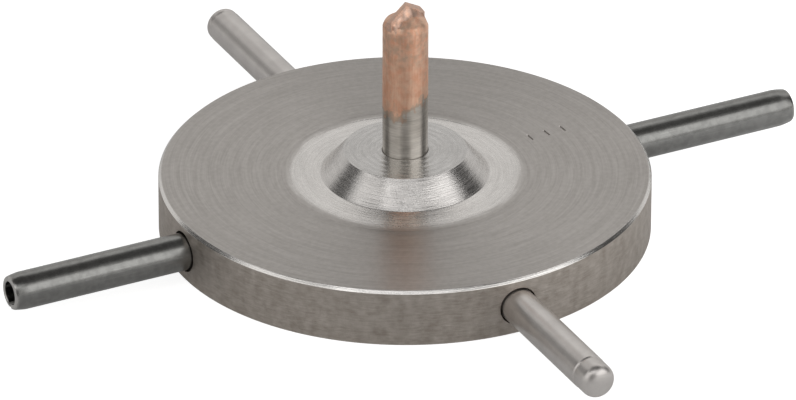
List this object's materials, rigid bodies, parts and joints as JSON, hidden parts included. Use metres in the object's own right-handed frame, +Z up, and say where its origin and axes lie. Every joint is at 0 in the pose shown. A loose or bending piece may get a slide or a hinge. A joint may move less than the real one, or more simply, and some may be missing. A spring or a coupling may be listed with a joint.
{
  "type": "hand-turned centre bit disc",
  "caption": "Round steel disc with a coned boss, a brazed tip bit standing through its centre and radial handle pins round its rim, for turning the bit by hand to a depth stop.",
  "frame": {"origin": "centre of the disc's flat underside, on the axis of the bit", "axes": "+Z up along the bit, +X along the right black spring pin, +Y along the rear bright dowel pin"},
  "size_m": [0.145, 0.1402, 0.0414],
  "materials": {
    "turned_steel": "fine concentric lathe turning, brighter freshly faced ring round the boss, satin",
    "bit_steel": "ground round steel, upper two thirds washed with copper braze",
    "coppered_carbide": "ground carbide with a thin wash of copper braze, satin",
    "braze_copper": "copper braze, satin",
    "black_oxide_steel": "oiled black oxide, worn to grey at the end edges",
    "ground_steel": "centreless ground, satin"
  },
  "bodies": {
    "disc": {"stop_disc": "turned_steel", "bit_shank": "bit_steel", "carbide_tip": "coppered_carbide", "braze_shim": "braze_copper", "spring_pin_right": "black_oxide_steel", "spring_pin_left": "black_oxide_steel"},
    "rear_dowel": {"dowel_pin_rear": "ground_steel"},
    "front_dowel": {"dowel_pin_front": "ground_steel"}
  },
  "joints": [
    {"name": "rear_dowel_slide", "type": "slide", "parent": "disc", "child": "rear_dowel", "axis": [0, 1, 0], "range_m": [0, 0.022]},
    {"name": "front_dowel_slide", "type": "slide", "parent": "disc", "child": "front_dowel", "axis": [0, -1, 0], "range_m": [0, 0.022]}
  ]
}
